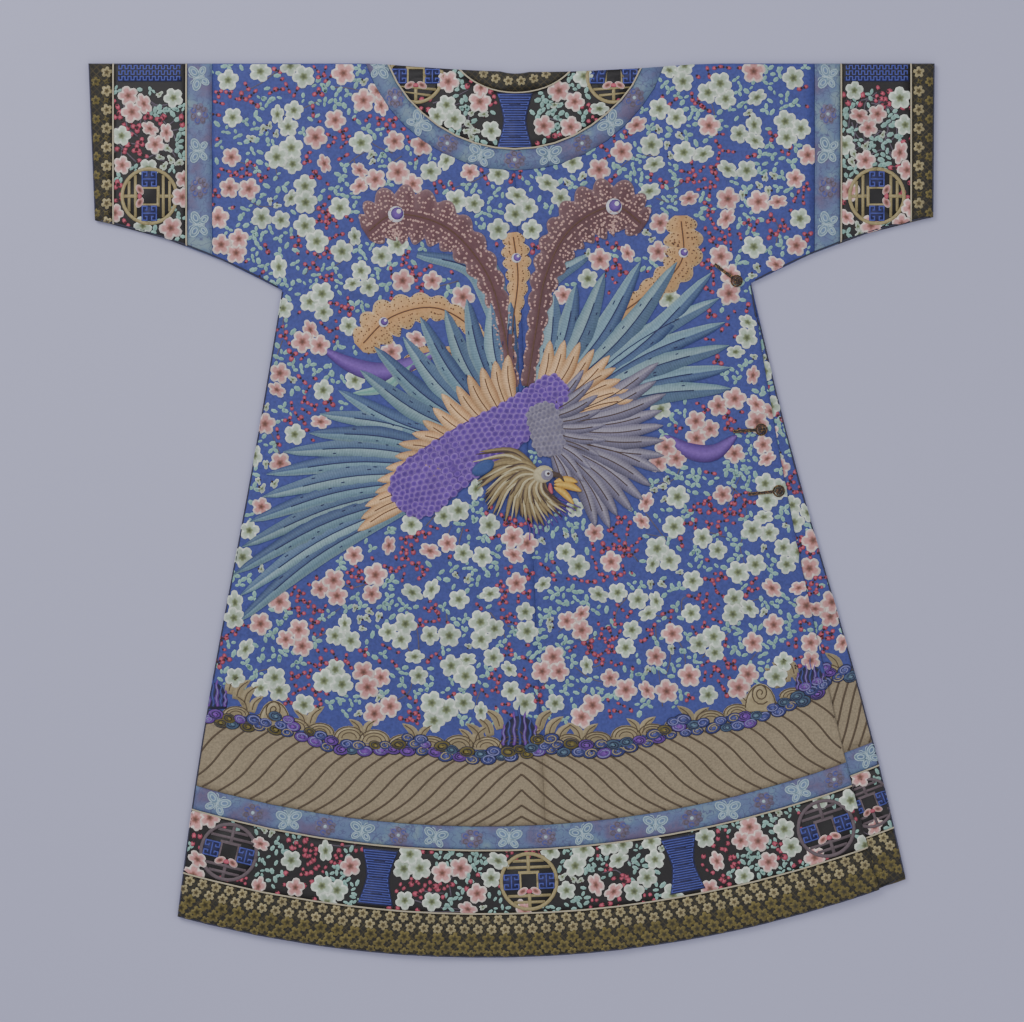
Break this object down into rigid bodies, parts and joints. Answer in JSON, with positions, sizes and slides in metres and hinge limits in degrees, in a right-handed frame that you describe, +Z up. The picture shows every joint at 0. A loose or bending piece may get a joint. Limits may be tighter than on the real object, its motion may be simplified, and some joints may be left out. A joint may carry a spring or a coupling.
{
  "type": "embroidered silk robe, laid flat",
  "caption": "Wide-sleeved East Asian silk robe laid flat, back up, with pieced borders at neck, cuffs and hem and knotted loops down its side edge.",
  "frame": {"origin": "middle of the robe's outline, on the surface that it lies on", "axes": "+X towards the viewer's right cuff, +Y from the hem to the shoulders, +Z up from the surface"},
  "size_m": [1.31, 1.384, 0.0235],
  "materials": {
    "ground": "satin silk, embroidered",
    "brocade": "satin silk, embroidered",
    "gold": "woven silk with metal thread",
    "ribbon": "woven silk ribbon",
    "fastening": "silk cord with a metal-thread edge",
    "piping": "silk cord, twisted"
  },
  "bodies": {
    "root": {"back_left": "ground", "back_right": "ground", "front_left": "ground", "front_right": "ground", "lapel_side": "ground", "neck_gold": "gold", "neck_brocade": "brocade", "neck_ribbon": "ribbon", "cuff_ribbon_left": "ribbon", "cuff_brocade_left": "brocade", "cuff_gold_left": "gold", "cuff_ribbon_right": "ribbon", "cuff_brocade_right": "brocade", "cuff_gold_right": "gold", "hem_ribbon": "ribbon", "hem_brocade": "brocade", "hem_gold": "gold", "lapel_ribbon": "ribbon", "lapel_brocade": "brocade", "lapel_gold": "gold", "loop_upper": "fastening", "loop_middle": "fastening", "loop_lower": "fastening", "knot_upper": "fastening", "knot_middle": "fastening", "knot_lower": "fastening", "neck_piping_inner": "piping", "neck_piping_outer": "piping", "cuff_piping_inner_left": "piping", "cuff_piping_outer_left": "piping", "cuff_piping_inner_right": "piping", "cuff_piping_outer_right": "piping", "hem_piping_lower": "piping", "hem_piping_upper": "piping", "lapel_piping_lower": "piping", "lapel_piping_upper": "piping"}
  },
  "joints": []
}
